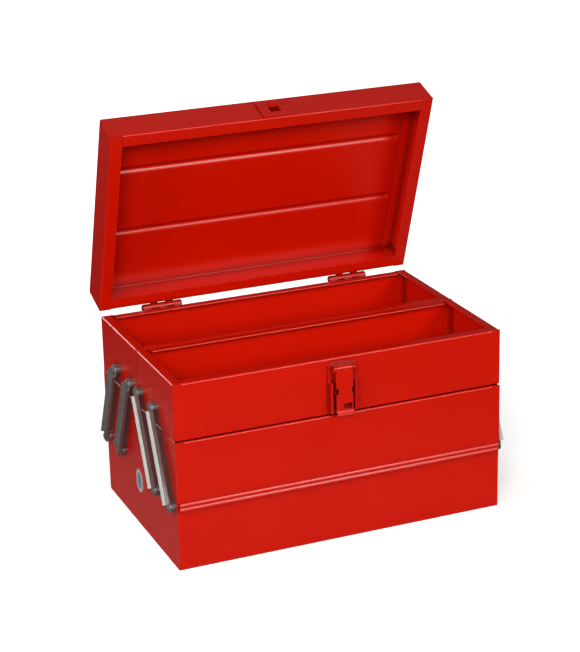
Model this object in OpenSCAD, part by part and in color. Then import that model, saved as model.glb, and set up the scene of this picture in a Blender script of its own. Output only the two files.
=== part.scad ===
// Cantilever toolbox of folded sheet steel: a deep base, two top trays that swing out on flat
// channel arms, a ribbed lid hinged on the rear tray, a hasp on the front tray and a carry handle.
// Millimetres. X to the right, Y to the back, Z up; the origin is the middle of the footprint.

/* [Box] */
// Width over the end plates
box_width = 400; // [360:10:440]
// Depth over the front and rear walls, below the step
box_depth = 248.6; // [244.6:1:256.6]
// Height of the base
base_height = 154.5; // [146.5:1:164.5]
// Height of a tray
tray_height = 67.2; // [62.2:1:77.2]
// Thickness of the sheet
sheet = 1; // [0.8:0.1:1.2]
// Outer radius of the folds
fold_radius = 2.2; // [1.8:0.2:3.2]
// Width of the inward rims
rim_width = 11.5; // [9:0.5:13]
// How far the upper half of the base stands proud
step_out = 1.4; // [1:0.2:2]
// Height of the step, at the top of the bead
step_height = 83; // [78:1:88]
// How far the bead stands proud of the lower half
bead_out = 4.2; // [3.6:0.2:5]
// Height of the bead
bead_height = 11; // [10:0.5:12]
// Depth of the groove between its two ridges
bead_groove = 1.4; // [1:0.1:1.8]

/* [Arms] */
// Height of the lower pivots
pivot_low_z = 74.4; // [69.4:1:79.4]
// Height of the upper pivots above the floor of the tray
pivot_up = 20.7; // [17.7:1:24.7]
// Distance from the outer lower pivots to the front and rear walls
pivot_inset = 12; // [11:1:14]
// Distance from the middle to the inner upper pivots
pivot_mid = 15; // [14:1:17]
// Distance between the two arms at one end of a tray
arm_pitch = 50; // [46:1:50]
// Width of an arm
arm_width = 14; // [13:0.5:15]
// Height of the flanges of an arm, with its web
arm_depth = 5.6; // [5:0.1:8]
// Gap between an end plate and the arms
arm_standoff = 5; // [4:0.5:6]
// Thickness of the arm
arm_sheet = 1.5; // [1.2:0.1:1.8]

/* [Lid] */
// Angle at which the lid stands open
open_angle = 70.55; // [60.55:1:90.55]
// Height of the lid
lid_height = 40; // [36:1:46]
// Distance from the front wall of the front tray back to that of the lid
lid_setback = 4.8; // [4:0.2:6]
// Width of the flange round the mouth of the lid
lid_rim = 14.5; // [12:0.5:16]
// Height of the pressed ribs
rib_height = 3; // [2:0.5:3]
// Width of the ribs
rib_width = 12; // [10:1:12]

/* [Hinges and handle] */
// Distance from the end of the box to the middle of each hinge
hinge_inset = 78; // [60:2:100]
// Length of a hinge
hinge_length = 48; // [40:2:56]
// Outer radius of the hinge knuckles
knuckle_radius = 4.2; // [4:0.1:4.3]
// Diameter of the hinge pins
hinge_pin = 5; // [4:0.2:5]
// Diameter of the bail
bail_dia = 7; // [6:0.5:7]
// Width of the bail between the middles of its legs
bail_width = 120; // [110:2:130]
// Reach of the bail from its pivots to the middle of the grip
bail_reach = 62; // [60:1:64]
// Diameter of the grip
grip_dia = 13; // [11:0.5:13]

/* [Hasp] */
// Width of the hasp
hasp_width = 20.8; // [18.8:0.5:21.8]
// Height of the hasp's axis above the floor of the front tray
hasp_axis_up = 55.5; // [54.5:0.5:56.5]
// Height of the padlock slots in the sides of the hasp
padlock_slot = 9; // [7:0.5:10]

/* [Clearances] */
// Gap between stacked containers
stack_gap = 0.5; // [0.4:0.1:0.8]
// Gap between the two trays
tray_gap = 0.8; // [0.6:0.1:1.6]
// Running clearance of a pin in its hole, on the radius
pin_clear = 0.075; // [0.05:0.005:0.1]
// End play of an arm on its rivet, on each side
arm_play = 0.15; // [0.1:0.05:0.2]
// Gap between hinge knuckles
knuckle_gap = 0.35; // [0.3:0.05:0.5]

/* [Hidden] */
$fn = 48;
eps = 0.01;
half_w = box_width / 2;
half_d = box_depth / 2;
upper_d = half_d + step_out;
bead_d = half_d + bead_out;
bead_r = bead_height / 4;
bead_z0 = step_height - bead_height;
bead_margin = 1.5;
flange = 10;
notch = 4;
joint_gap = 0.3;
label_t = 0.2;
label_w = 22;
label_h = 28;
label_y = 7;
label_z = pivot_low_z - 17.2;
hem = 5;

tray_z = base_height + stack_gap;
tray_top = tray_z + tray_height;
split_y = -3;
front_y0 = -half_d;
front_y1 = split_y - tray_gap / 2;
rear_y0 = split_y + tray_gap / 2;
rear_y1 = half_d;

pivot_up_z = tray_z + pivot_up;
outer_low_y = half_d - pivot_inset;
inner_low_y = outer_low_y - arm_pitch;
arm_lean = inner_low_y - pivot_mid;
arm_rise = pivot_up_z - pivot_low_z;
arm_length = sqrt(arm_lean * arm_lean + arm_rise * arm_rise);
arm_angle = atan2(arm_lean, arm_rise);

rivet_dia = 5;
rivet_head = 9;
washer_t = arm_standoff - arm_play;
arm_x0 = half_w + arm_standoff;
arm_x1 = arm_x0 + arm_sheet;
arm_x2 = arm_x0 + arm_depth;
arm_cut = 3;
head_x = arm_x1 + arm_play;

lid_half_w = half_w + 0.5;
lid_z0 = tray_top + stack_gap;
lid_z1 = lid_z0 + lid_height;
lid_y0 = -half_d + lid_setback;
lid_y1 = half_d + 0.2;
rib_margin = 15;
rib_r = (rib_width * rib_width / 4 + rib_height * rib_height) / (2 * rib_height);
rib_front_y = -45;
rib_rear_y = 42;

hinge_x = half_w - hinge_inset;
hinge_y = half_d + 5.3;
hinge_z = tray_top + 0.4;
leaf_t = 1.6;
leaf_height = 19;
knuckles = 5;
knuckle_len = (hinge_length - (knuckles - 1) * knuckle_gap) / knuckles;

hasp_z = tray_z + hasp_axis_up;
hasp_y = -half_d - 6;
hasp_r = 4;
hasp_sheet = 1.2;
hasp_front = hasp_y - 3.7;
hasp_back = hasp_y + 3.7;
padlock_w = 4.6;
padlock_reach = (padlock_slot - padlock_w) / 2;
hasp_foot = 49;
hasp_lip = 54.5;
hasp_foot_z = hasp_z - hasp_foot;
hasp_lip_z = hasp_z - hasp_lip;
padlock_drop = 26;
padlock_y = hasp_y - 0.1;
slot_x = 3;
hasp_pin = 4;
bracket_t = 1.5;
lug_gap = 0.4;
bracket_margin = 7;
bracket_drop = 52.5;
ear_gap = 3;
ear_t = 2.6;
ear_reach = 6.7;
ear_height = 36;
slot_low = 47.5;
slot_high = 41;
slot_w = 11;

keeper_x = slot_x;
keeper_t = 1.5;
keeper_rivet = 4;
keeper_head = 6.5;
keeper_w = 38;
keeper_margin = 2;
keeper_y = lid_y0 - keeper_t;
window_w = 13.5;
window_h = 13;
window_rise = 35.5;
window_top = hasp_z + window_rise;
tongue_w = 9;
tongue_out = 2.2;

bail_r = bail_dia / 2;
grip_r = grip_dia / 2;
handle_y = (lid_y0 + lid_y1) / 2 - 0.5;
handle_z = lid_z1 + rib_height + bail_r + 0.5;
elbow_r = 10;
grip_inset = 16;
grip_half = bail_width / 2 - grip_inset;
turn_r = 6;
bracket_x = bail_width / 2 + turn_r + 1;
bail_end_x = bracket_x + 4.8;

// ---- placing helpers: a profile drawn in (Y, Z) or (X, Z) is swept along the other axis

module along_x(x0, x1) {
    translate([x0, 0, 0]) rotate([90, 0, 90]) linear_extrude(height = x1 - x0) children();
}

module along_y(y0, y1) {
    translate([0, y1, 0]) rotate([90, 0, 0]) linear_extrude(height = y1 - y0) children();
}

module pin_x(x0, x1, y, z, d) {
    translate([x0, y, z]) rotate([0, 90, 0]) cylinder(h = x1 - x0, d = d);
}

module pin_y(y0, y1, x, z, d) {
    translate([x, y1, z]) rotate([90, 0, 0]) cylinder(h = y1 - y0, d = d);
}

// Round rivet head with its flat side on x0, rising by h along +X or -X
module head_x(x0, y, z, d, h, dir) {
    translate([x0, y, z]) rotate([0, dir * 90, 0]) union() {
        cylinder(h = h * 0.45, d = d);
        translate([0, 0, h * 0.45 - eps]) cylinder(h = h * 0.35, d1 = d, d2 = d * 0.8);
        translate([0, 0, h * 0.8 - 2 * eps]) cylinder(h = h * 0.2, d1 = d * 0.8, d2 = d * 0.5);
    }
}

// The same along Y
module head_y(y0, x, z, d, h, dir) {
    translate([x, y0, z]) rotate([-dir * 90, 0, 0]) union() {
        cylinder(h = h * 0.45, d = d);
        translate([0, 0, h * 0.45 - eps]) cylinder(h = h * 0.55, d1 = d, d2 = d * 0.6);
    }
}

module left_right() {
    children();
    mirror([1, 0, 0]) children();
}

module front_back() {
    children();
    mirror([0, 1, 0]) children();
}

// ---- sheet profiles

// Open-topped tub between y0 and y1, with folded lower corners
module tub(y0, y1, z0, z1, r) {
    union() {
        translate([y0, z0 + r]) square([y1 - y0, z1 - z0 - r]);
        translate([y0 + r, z0]) square([y1 - y0 - 2 * r, r + eps]);
        translate([y0 + r, z0 + r]) circle(r);
        translate([y1 - r, z0 + r]) circle(r);
    }
}

// Inward rim with its edge hemmed under, on a wall whose outer face is at 0; dir -1 for a wall
// that stands on the high side
module rim(width, top, dir) {
    scale_dir = dir < 0 ? 1 : 0;
    mirror([scale_dir, 0]) union() {
        translate([0, top - sheet]) square([width - sheet, sheet]);
        translate([width - hem - sheet, top - 2 * sheet]) square([hem, sheet + eps]);
        translate([width - sheet, top - sheet]) circle(sheet, $fn = 24);
    }
}

// Section of the base at a given inset from its outer faces
module base_section(i) {
    step_z = step_height + i;
    union() {
        tub(-half_d + i, half_d - i, i, base_height + eps, fold_radius - min(i, sheet));
        translate([-upper_d + i, step_z]) square([2 * (upper_d - i), base_height + eps - step_z]);
    }
}

// Bead with two rounded ridges and a groove between them
module bead_section(i) {
    root = half_d - 2 * sheet;
    front_back_2d() union() {
        translate([root, bead_z0 + i]) square([bead_d - bead_r - root, bead_height - 2 * i]);
        translate([root, bead_z0 + bead_r])
            square([bead_d - bead_groove - i - root, bead_height - 2 * bead_r]);
        for (n = [1, 3])
            translate([bead_d - bead_r, bead_z0 + n * bead_r]) circle(bead_r - i, $fn = 32);
    }
}

module front_back_2d() {
    children();
    mirror([1, 0]) children();
}

// ---- base

module base_shell() {
    flat_x = half_w - bead_margin;
    color("#c41c10") union() {
        difference() {
            union() {
                along_x(-half_w, half_w) intersection() {
                    base_section(0);
                    translate([-upper_d, 0]) square([2 * upper_d, base_height]);
                }
                along_x(-flat_x, flat_x) bead_section(0);
            }
            along_x(-half_w - 1, half_w + 1) base_section(sheet);
            along_x(-flat_x + sheet, flat_x - sheet) bead_section(sheet);
        }
        along_x(-half_w + rim_width + joint_gap, half_w - rim_width - joint_gap)
            translate([-upper_d, 0]) rim(rim_width, base_height, 1);
        along_x(-half_w + rim_width + notch, half_w - rim_width - notch)
            translate([upper_d, 0]) rim(rim_width, base_height, -1);
    }
}

module base_end_right() {
    color("#c41c10") difference() {
        union() {
            along_x(half_w - sheet, half_w) trimmed_section(sheet, base_height);
            along_x(half_w - flange, half_w - sheet + eps) difference() {
                trimmed_section(sheet, base_height);
                base_section(2 * sheet);
            }
            along_y(-upper_d + sheet, upper_d - sheet)
                translate([half_w, 0]) rim(rim_width, base_height, -1);
        }
        for (s = [-1, 1])
            for (y = [inner_low_y, outer_low_y])
                pin_x(half_w - 2 * sheet, half_w + 1, s * y, pivot_low_z, rivet_dia);
    }
}

module trimmed_section(i, top) {
    intersection() {
        base_section(i);
        translate([-upper_d, 0]) square([2 * upper_d, top]);
    }
}

module base_end_left() {
    mirror([1, 0, 0]) base_end_right();
}

// Rivet through an end plate, a washer and an arm, drawn for the right end
module arm_rivet(y, z) {
    union() {
        pin_x(half_w - sheet - eps, head_x + eps, y, z, rivet_dia);
        head_x(half_w - sheet, y, z, rivet_head, 1.5, -1);
        head_x(head_x, y, z, rivet_head, 2.2, 1);
    }
}

module arm_washer(y, z) {
    difference() {
        pin_x(half_w, half_w + washer_t, y, z, rivet_head + 1.5);
        pin_x(half_w - 1, half_w + washer_t + 1, y, z, rivet_dia);
    }
}

module lower_arm_rivets() {
    color("#b9bcc0") left_right() front_back() {
        arm_rivet(inner_low_y, pivot_low_z);
        arm_rivet(outer_low_y, pivot_low_z);
    }
}

module lower_arm_washers() {
    color("#b9bcc0") left_right() front_back() {
        arm_washer(inner_low_y, pivot_low_z);
        arm_washer(outer_low_y, pivot_low_z);
    }
}

module blank_label() {
    color("#c8c8c6") along_x(-half_w - label_t, -half_w) translate([label_y, label_z]) union() {
        translate([0, label_h / 2 - label_w / 2]) circle(d = label_w);
        translate([0, label_w / 2 - label_h / 2]) circle(d = label_w);
        translate([-label_w / 2, label_w / 2 - label_h / 2]) square([label_w, label_h - label_w]);
    }
}

// ---- trays

module tray_shell(y0, y1) {
    difference() {
        along_x(-half_w, half_w) tub(y0, y1, tray_z, tray_top, fold_radius);
        along_x(-half_w - 1, half_w + 1)
            tub(y0 + sheet, y1 - sheet, tray_z + sheet, tray_top + 1, fold_radius - sheet);
    }
    along_x(-half_w + rim_width + joint_gap, half_w - rim_width - joint_gap)
        translate([y0, 0]) rim(rim_width, tray_top, 1);
    along_x(-half_w + rim_width + notch, half_w - rim_width - notch)
        translate([y1, 0]) rim(rim_width, tray_top, -1);
}

// End plate for the right side; ys are the heights of its arm pivots along Y
module tray_end(y0, y1, ys) {
    r = fold_radius - sheet;
    a = y0 + sheet;
    b = y1 - sheet;
    difference() {
        union() {
            along_x(half_w - sheet, half_w) tub(a, b, tray_z + sheet, tray_top, r);
            along_x(half_w - flange, half_w - sheet + eps) difference() {
                tub(a, b, tray_z + sheet, tray_top, r);
                tub(a + sheet, b - sheet, tray_z + 2 * sheet, tray_top + 1, max(r - sheet, 0.1));
            }
            along_y(a, b) translate([half_w, 0]) rim(rim_width, tray_top, -1);
        }
        for (y = ys)
            pin_x(half_w - 2 * sheet, half_w + 1, y, pivot_up_z, rivet_dia);
    }
}

front_ys = [-pivot_mid, -pivot_mid - arm_pitch];
rear_ys = [pivot_mid, pivot_mid + arm_pitch];

module front_tray_shell() {
    color("#c41c10") union() {
        tray_shell(front_y0, front_y1);
    }
}

module front_tray_end_right() {
    color("#c41c10") tray_end(front_y0, front_y1, front_ys);
}

module front_tray_end_left() {
    mirror([1, 0, 0]) front_tray_end_right();
}

module front_tray_rivets() {
    color("#b9bcc0") left_right() for (y = front_ys) arm_rivet(y, pivot_up_z);
}

module front_tray_washers() {
    color("#b9bcc0") left_right() for (y = front_ys) arm_washer(y, pivot_up_z);
}

module rear_tray_shell() {
    color("#c41c10") union() {
        tray_shell(rear_y0, rear_y1);
    }
}

module rear_tray_end_right() {
    color("#c41c10") tray_end(rear_y0, rear_y1, rear_ys);
}

module rear_tray_end_left() {
    mirror([1, 0, 0]) rear_tray_end_right();
}

module rear_tray_rivets() {
    color("#b9bcc0") left_right() for (y = rear_ys) arm_rivet(y, pivot_up_z);
}

module rear_tray_washers() {
    color("#b9bcc0") left_right() for (y = rear_ys) arm_washer(y, pivot_up_z);
}

// ---- arms: a channel with round ends, its web next to the box

module arm_outline(w) {
    union() {
        circle(d = w);
        translate([0, arm_length]) circle(d = w);
        translate([-w / 2, 0]) square([w, arm_length]);
    }
}

module arm(low_y, lean) {
    edge = arm_width / 2;
    translate([0, low_y, pivot_low_z]) rotate([lean, 0, 0]) difference() {
        union() {
            along_x(arm_x0, arm_x1) arm_outline(arm_width);
            along_x(arm_x1 - eps, arm_x2) translate([edge - arm_sheet, arm_cut])
                square([arm_sheet, arm_length - 2 * arm_cut]);
            along_x(arm_x1 - eps, arm_x2) translate([-edge, arm_cut])
                square([arm_sheet, arm_length - 2 * arm_cut]);
        }
        pin_x(arm_x0 - 1, arm_x1 + 1, 0, 0, rivet_dia + 2 * pin_clear);
        pin_x(arm_x0 - 1, arm_x1 + 1, 0, arm_length, rivet_dia + 2 * pin_clear);
    }
}

module arm_front_right_outer() {
    color("#8c8f93") arm(-outer_low_y, -arm_angle);
}

module arm_front_right_inner() {
    color("#8c8f93") arm(-inner_low_y, -arm_angle);
}

module arm_rear_right_outer() {
    color("#8c8f93") arm(outer_low_y, arm_angle);
}

module arm_rear_right_inner() {
    color("#8c8f93") arm(inner_low_y, arm_angle);
}

module arm_front_left_outer() {
    mirror([1, 0, 0]) arm_front_right_outer();
}

module arm_front_left_inner() {
    mirror([1, 0, 0]) arm_front_right_inner();
}

module arm_rear_left_outer() {
    mirror([1, 0, 0]) arm_rear_right_outer();
}

module arm_rear_left_inner() {
    mirror([1, 0, 0]) arm_rear_right_inner();
}

// ---- lid, drawn shut and turned back to where it stands open

module open_lid() {
    translate([0, hinge_y, hinge_z]) rotate([-open_angle, 0, 0])
        translate([0, -hinge_y, -hinge_z]) children();
}

// Upside-down tub
module cap(y0, y1, z0, z1, r) {
    union() {
        translate([y0, z0]) square([y1 - y0, z1 - z0 - r]);
        translate([y0 + r, z1 - r - eps]) square([y1 - y0 - 2 * r, r + eps]);
        translate([y0 + r, z1 - r]) circle(r);
        translate([y1 - r, z1 - r]) circle(r);
    }
}

// Pressed rib with ball-shaped ends, grown or shrunk by its radius
module rib(y, r) {
    reach = lid_half_w - rib_margin - rib_width / 2;
    z = lid_z1 + rib_height - rib_r;
    intersection() {
        union() {
            pin_x(-reach, reach, y, z, 2 * r);
            translate([-reach, y, z]) sphere(r);
            translate([reach, y, z]) sphere(r);
        }
        translate([-lid_half_w, y - rib_width, lid_z1 - 1.5 * sheet])
            cube([2 * lid_half_w, 2 * rib_width, rib_height + 3 * sheet]);
    }
}

module lid_shell() {
    inner = fold_radius - sheet;
    w = lid_half_w;
    color("#c41c10") open_lid() difference() {
        union() {
            difference() {
                along_x(-w, w) cap(lid_y0, lid_y1, lid_z0, lid_z1, fold_radius);
                along_x(-w - 1, w + 1)
                    cap(lid_y0 + sheet, lid_y1 - sheet, lid_z0 - 1, lid_z1 - sheet, inner);
            }
            rib(rib_front_y, rib_r);
            rib(rib_rear_y, rib_r);
            along_x(-w + lid_rim + joint_gap, w - lid_rim - joint_gap)
                translate([lid_y0, lid_z0]) square([lid_rim, sheet]);
            along_x(-w + lid_rim + joint_gap, w - lid_rim - joint_gap)
                translate([lid_y1 - lid_rim, lid_z0]) square([lid_rim, sheet]);
        }
        rib(rib_front_y, rib_r - sheet);
        rib(rib_rear_y, rib_r - sheet);
        translate([keeper_x - window_w / 2, lid_y0 - 1, window_top - window_h])
            cube([window_w, sheet + 2, window_h]);
        for (s = [-1, 1])
            pin_y(lid_y0 - 1, lid_y0 + 2, keeper_x + s * 14.5, window_top + 2, keeper_rivet);
    }
}

module lid_end_shut() {
    r = fold_radius - sheet;
    a = lid_y0 + sheet;
    b = lid_y1 - sheet;
    union() {
        along_x(lid_half_w - sheet, lid_half_w) cap(a, b, lid_z0, lid_z1 - sheet, r);
        along_x(lid_half_w - flange, lid_half_w - sheet + eps) difference() {
            cap(a, b, lid_z0, lid_z1 - sheet, r);
            cap(a + sheet, b - sheet, lid_z0 - 1, lid_z1 - 2 * sheet, max(r - sheet, 0.1));
        }
        translate([lid_half_w - lid_rim, a, lid_z0]) cube([lid_rim, b - a, sheet]);
    }
}

module lid_end_right() {
    color("#c41c10") open_lid() lid_end_shut();
}

module lid_end_left() {
    color("#c41c10") open_lid() mirror([1, 0, 0]) lid_end_shut();
}

// ---- hinges: five knuckles, the middle and the outer two on the tray

function knuckle_x(i) = hinge_x - hinge_length / 2 + i * (knuckle_len + knuckle_gap);

module tray_leaf() {
    low = hinge_z - leaf_height;
    top = hinge_z - knuckle_radius - joint_gap;
    face = half_d;
    bend = hinge_y - knuckle_radius;
    difference() {
        union() {
            along_x(hinge_x - hinge_length / 2, hinge_x + hinge_length / 2)
                translate([face, low]) square([leaf_t, top - low]);
            for (i = [0, 2, 4]) along_x(knuckle_x(i), knuckle_x(i) + knuckle_len) union() {
                translate([hinge_y, hinge_z]) circle(knuckle_radius);
                polygon([[face, top - 1], [face + leaf_t, top - 1], [bend + leaf_t, hinge_z],
                    [bend, hinge_z], [face, top]]);
            }
        }
        pin_x(hinge_x - hinge_length, hinge_x + hinge_length, hinge_y, hinge_z, hinge_pin);
    }
}

module lid_leaf() {
    low = hinge_z + knuckle_radius + joint_gap;
    top = hinge_z + leaf_height + 1;
    face = lid_y1;
    bend = hinge_y - knuckle_radius;
    difference() {
        union() {
            along_x(hinge_x - hinge_length / 2, hinge_x + hinge_length / 2)
                translate([face, low]) square([leaf_t, top - low]);
            for (i = [1, 3]) along_x(knuckle_x(i), knuckle_x(i) + knuckle_len) union() {
                translate([hinge_y, hinge_z]) circle(knuckle_radius);
                polygon([[face, low + 1], [face, low], [bend, hinge_z], [bend + leaf_t, hinge_z],
                    [face + leaf_t, low + 1]]);
            }
        }
        pin_x(hinge_x - hinge_length, hinge_x + hinge_length, hinge_y, hinge_z,
            hinge_pin + 2 * pin_clear);
    }
}

module hinge_tray_leaf_right() {
    color("#c41c10") tray_leaf();
}

module hinge_tray_leaf_left() {
    color("#c41c10") mirror([1, 0, 0]) tray_leaf();
}

module hinge_lid_leaf_right() {
    color("#c41c10") open_lid() lid_leaf();
}

module hinge_lid_leaf_left() {
    color("#c41c10") open_lid() mirror([1, 0, 0]) lid_leaf();
}

// Rivet through a wall and the plate on it, along Y
module wall_rivet(x, z, y0, y1) {
    union() {
        pin_y(y0 - eps, y1 + eps, x, z, keeper_rivet);
        head_y(y0, x, z, keeper_head, 1.2, -1);
        head_y(y1, x, z, keeper_head, 1.2, 1);
    }
}

module hinge_pins() {
    a = hinge_x - hinge_length / 2;
    b = hinge_x + hinge_length / 2;
    color("#b9bcc0") left_right() union() {
        pin_x(a - eps, b + eps, hinge_y, hinge_z, hinge_pin);
        pin_x(a - 1, a, hinge_y, hinge_z, hinge_pin + 1.6);
        pin_x(b, b + 1, hinge_y, hinge_z, hinge_pin + 1.6);
    }
}

// ---- hasp on the front tray, keeper on the lid

module hasp_bracket() {
    face = -half_d;
    lug = hasp_width / 2 + lug_gap;
    wide = hasp_width / 2 + bracket_margin;
    color("#c41c10") difference() {
        union() {
            along_x(-wide, wide) translate([face - bracket_t, hasp_z - bracket_drop])
                square([bracket_t, bracket_drop + hasp_r]);
            left_right() translate([hasp_width / 2 + ear_gap, face - ear_reach, hasp_z - bracket_drop])
                cube([ear_t, ear_reach - bracket_t + eps, ear_height]);
            left_right() along_x(lug, lug + bracket_t) union() {
                translate([hasp_y, hasp_z]) circle(hasp_r - 0.1);
                translate([hasp_y, hasp_z - hasp_r + 0.1])
                    square([face - bracket_t - hasp_y + eps, 2 * (hasp_r - 0.1)]);
            }
        }
        pin_x(-hasp_width, hasp_width, hasp_y, hasp_z, hasp_pin);
    }
}

module hasp_pin() {
    end = hasp_width / 2 + lug_gap + bracket_t;
    color("#b9bcc0") union() {
        pin_x(-end - eps, end + eps, hasp_y, hasp_z, hasp_pin);
        left_right() head_x(end, hasp_y, hasp_z, 6, 1, 1);
    }
}

module hasp_lever() {
    hw = hasp_width / 2;
    color("#c41c10") difference() {
        union() {
            along_x(-hw, hw) union() {
                translate([hasp_y, hasp_z]) circle(hasp_r);
                translate([hasp_front, hasp_foot_z])
                    square([hasp_back - hasp_front, hasp_z - hasp_foot_z]);
            }
            along_x(-hw, hw) polygon([[hasp_front, hasp_foot_z], [hasp_front - 3, hasp_lip_z],
                [hasp_front - 2, hasp_lip_z - 0.7], [hasp_front + hasp_sheet, hasp_foot_z - 0.3],
                [hasp_front + hasp_sheet, hasp_foot_z + 1], [hasp_front, hasp_foot_z + 1]]);
        }
        along_x(-hw + hasp_sheet, hw - hasp_sheet) union() {
            translate([hasp_y, hasp_z]) circle(hasp_r - hasp_sheet);
            translate([hasp_front + hasp_sheet, hasp_foot_z - 1])
                square([hasp_back - hasp_front, hasp_z - hasp_foot_z + 1]);
            translate([hasp_y, hasp_z - 5]) square([hasp_r + 1, 10]);
        }
        along_x(-hw - 1, hw + 1) translate([hasp_back, hasp_foot_z])
            polygon([[-6.5, -1], [1, -1], [1, 14], [0, 12], [-5, 0]]);
        pin_x(-hw - 1, hw + 1, hasp_y, hasp_z, hasp_pin + 2 * pin_clear);
        along_x(-hw - 1, hw + 1) translate([padlock_y, hasp_z - padlock_drop]) union() {
            translate([0, padlock_reach]) circle(d = padlock_w);
            translate([0, -padlock_reach]) circle(d = padlock_w);
            translate([-padlock_w / 2, -padlock_reach]) square([padlock_w, 2 * padlock_reach]);
        }
        translate([slot_x - slot_w / 2, hasp_front - 1, hasp_z - slot_low])
            cube([slot_w, hasp_sheet + 2, slot_low - slot_high]);
    }
}

module lid_keeper() {
    root_y = keeper_y;
    color("#c41c10") open_lid() difference() {
        union() {
            along_y(keeper_y, lid_y0) translate([keeper_x - keeper_w / 2, lid_z0 + keeper_margin])
                square([keeper_w, lid_height - 3 * keeper_margin]);
            along_x(keeper_x - tongue_w / 2, keeper_x + tongue_w / 2)
                polygon([[root_y + keeper_t, window_top - 1], [root_y + keeper_t, window_top + 5],
                    [root_y, window_top + 5], [root_y - tongue_out + 0.4, window_top + 3],
                    [root_y - tongue_out, window_top + 1.6], [root_y - tongue_out, window_top + 0.4],
                    [root_y - tongue_out + 1.2, window_top + 0.4], [root_y, window_top - 1]]);
        }
        translate([keeper_x - window_w / 2, keeper_y - 1, window_top - window_h])
            cube([window_w, keeper_t + 2, window_h]);
        for (s = [-1, 1])
            pin_y(keeper_y - 1, lid_y0 + 1, keeper_x + s * 14.5, window_top + 2, keeper_rivet);
    }
}

module lid_keeper_rivets() {
    color("#b9bcc0") open_lid() for (s = [-1, 1])
        wall_rivet(keeper_x + s * 14.5, window_top + 2, keeper_y, lid_y0 + sheet);
}

// ---- carrying handle on the lid

module handle_bracket_shut() {
    x0 = bracket_x;
    difference() {
        union() {
            translate([x0, handle_y - 11, lid_z1]) cube([17, 22, 1.5]);
            along_x(x0, x0 + 1.8) union() {
                translate([handle_y - 11, lid_z1]) square([22, 2.5]);
                polygon([[handle_y - 11, lid_z1 + 2.5], [handle_y + 11, lid_z1 + 2.5],
                    [handle_y + 6, handle_z], [handle_y - 6, handle_z]]);
                translate([handle_y, handle_z]) circle(6);
            }
        }
        pin_x(x0 - 1, x0 + 3, handle_y, handle_z, bail_dia + 2 * pin_clear);
    }
}

module handle_bracket_right() {
    color("#8c8f93") open_lid() handle_bracket_shut();
}

module handle_bracket_left() {
    color("#8c8f93") open_lid() mirror([1, 0, 0]) handle_bracket_shut();
}

module handle_bail() {
    leg = bail_width / 2;
    grip_y = handle_y + bail_reach;
    color("#8c8f93") open_lid() union() {
        left_right() union() {
            pin_x(leg + turn_r, bail_end_x - 2, handle_y, handle_z, bail_dia);
            pin_x(bail_end_x - 2, bail_end_x, handle_y, handle_z, bail_dia + 2);
            translate([leg + turn_r, handle_y + turn_r, handle_z])
                rotate([0, 0, 180]) rotate_extrude(angle = 90) translate([turn_r, 0]) circle(bail_r);
            translate([leg, grip_y - elbow_r, handle_z]) rotate([90, 0, 0])
                cylinder(h = bail_reach - elbow_r - turn_r, r = bail_r);
            translate([leg - elbow_r, grip_y - elbow_r, handle_z])
                rotate_extrude(angle = 90) translate([elbow_r, 0]) circle(bail_r);
        }
        pin_x(-leg + elbow_r, leg - elbow_r, grip_y, handle_z, bail_dia);
    }
}

module handle_grip() {
    color("#1c1c1e") open_lid() difference() {
        pin_x(-grip_half, grip_half, handle_y + bail_reach, handle_z, grip_dia);
        pin_x(-grip_half - 1, grip_half + 1, handle_y + bail_reach, handle_z, bail_dia);
    }
}

base_shell();
base_end_left();
base_end_right();
lower_arm_rivets();
lower_arm_washers();
blank_label();
front_tray_shell();
front_tray_end_left();
front_tray_end_right();
front_tray_rivets();
front_tray_washers();
hasp_bracket();
hasp_pin();
hasp_lever();
rear_tray_shell();
rear_tray_end_left();
rear_tray_end_right();
rear_tray_rivets();
rear_tray_washers();
hinge_tray_leaf_left();
hinge_tray_leaf_right();
hinge_pins();
arm_front_left_outer();
arm_front_left_inner();
arm_front_right_outer();
arm_front_right_inner();
arm_rear_left_outer();
arm_rear_left_inner();
arm_rear_right_outer();
arm_rear_right_inner();
lid_shell();
lid_end_left();
lid_end_right();
hinge_lid_leaf_left();
hinge_lid_leaf_right();
lid_keeper();
lid_keeper_rivets();
handle_bracket_left();
handle_bracket_right();
handle_bail();
handle_grip();
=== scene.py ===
"""Cantilever toolbox of enamelled sheet steel, standing open on a pale floor.

Sizes are in millimetres and are turned to metres where a mesh is made. X is to the right,
Y to the back, Z up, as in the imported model.
"""
import math

import bmesh
import bpy
from mathutils import Matrix, Vector


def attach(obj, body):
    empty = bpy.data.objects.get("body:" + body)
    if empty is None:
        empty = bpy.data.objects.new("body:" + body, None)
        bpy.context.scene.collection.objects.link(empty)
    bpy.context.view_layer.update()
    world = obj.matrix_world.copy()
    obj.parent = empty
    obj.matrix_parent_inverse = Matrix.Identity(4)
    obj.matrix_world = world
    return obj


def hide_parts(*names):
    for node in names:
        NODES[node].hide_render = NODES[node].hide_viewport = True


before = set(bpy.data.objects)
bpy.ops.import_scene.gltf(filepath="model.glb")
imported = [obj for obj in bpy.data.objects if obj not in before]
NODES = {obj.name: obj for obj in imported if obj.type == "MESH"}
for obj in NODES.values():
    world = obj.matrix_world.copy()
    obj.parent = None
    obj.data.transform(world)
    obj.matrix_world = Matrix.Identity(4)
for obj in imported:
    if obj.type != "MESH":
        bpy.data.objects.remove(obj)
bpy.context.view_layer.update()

MM = 0.001

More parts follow.
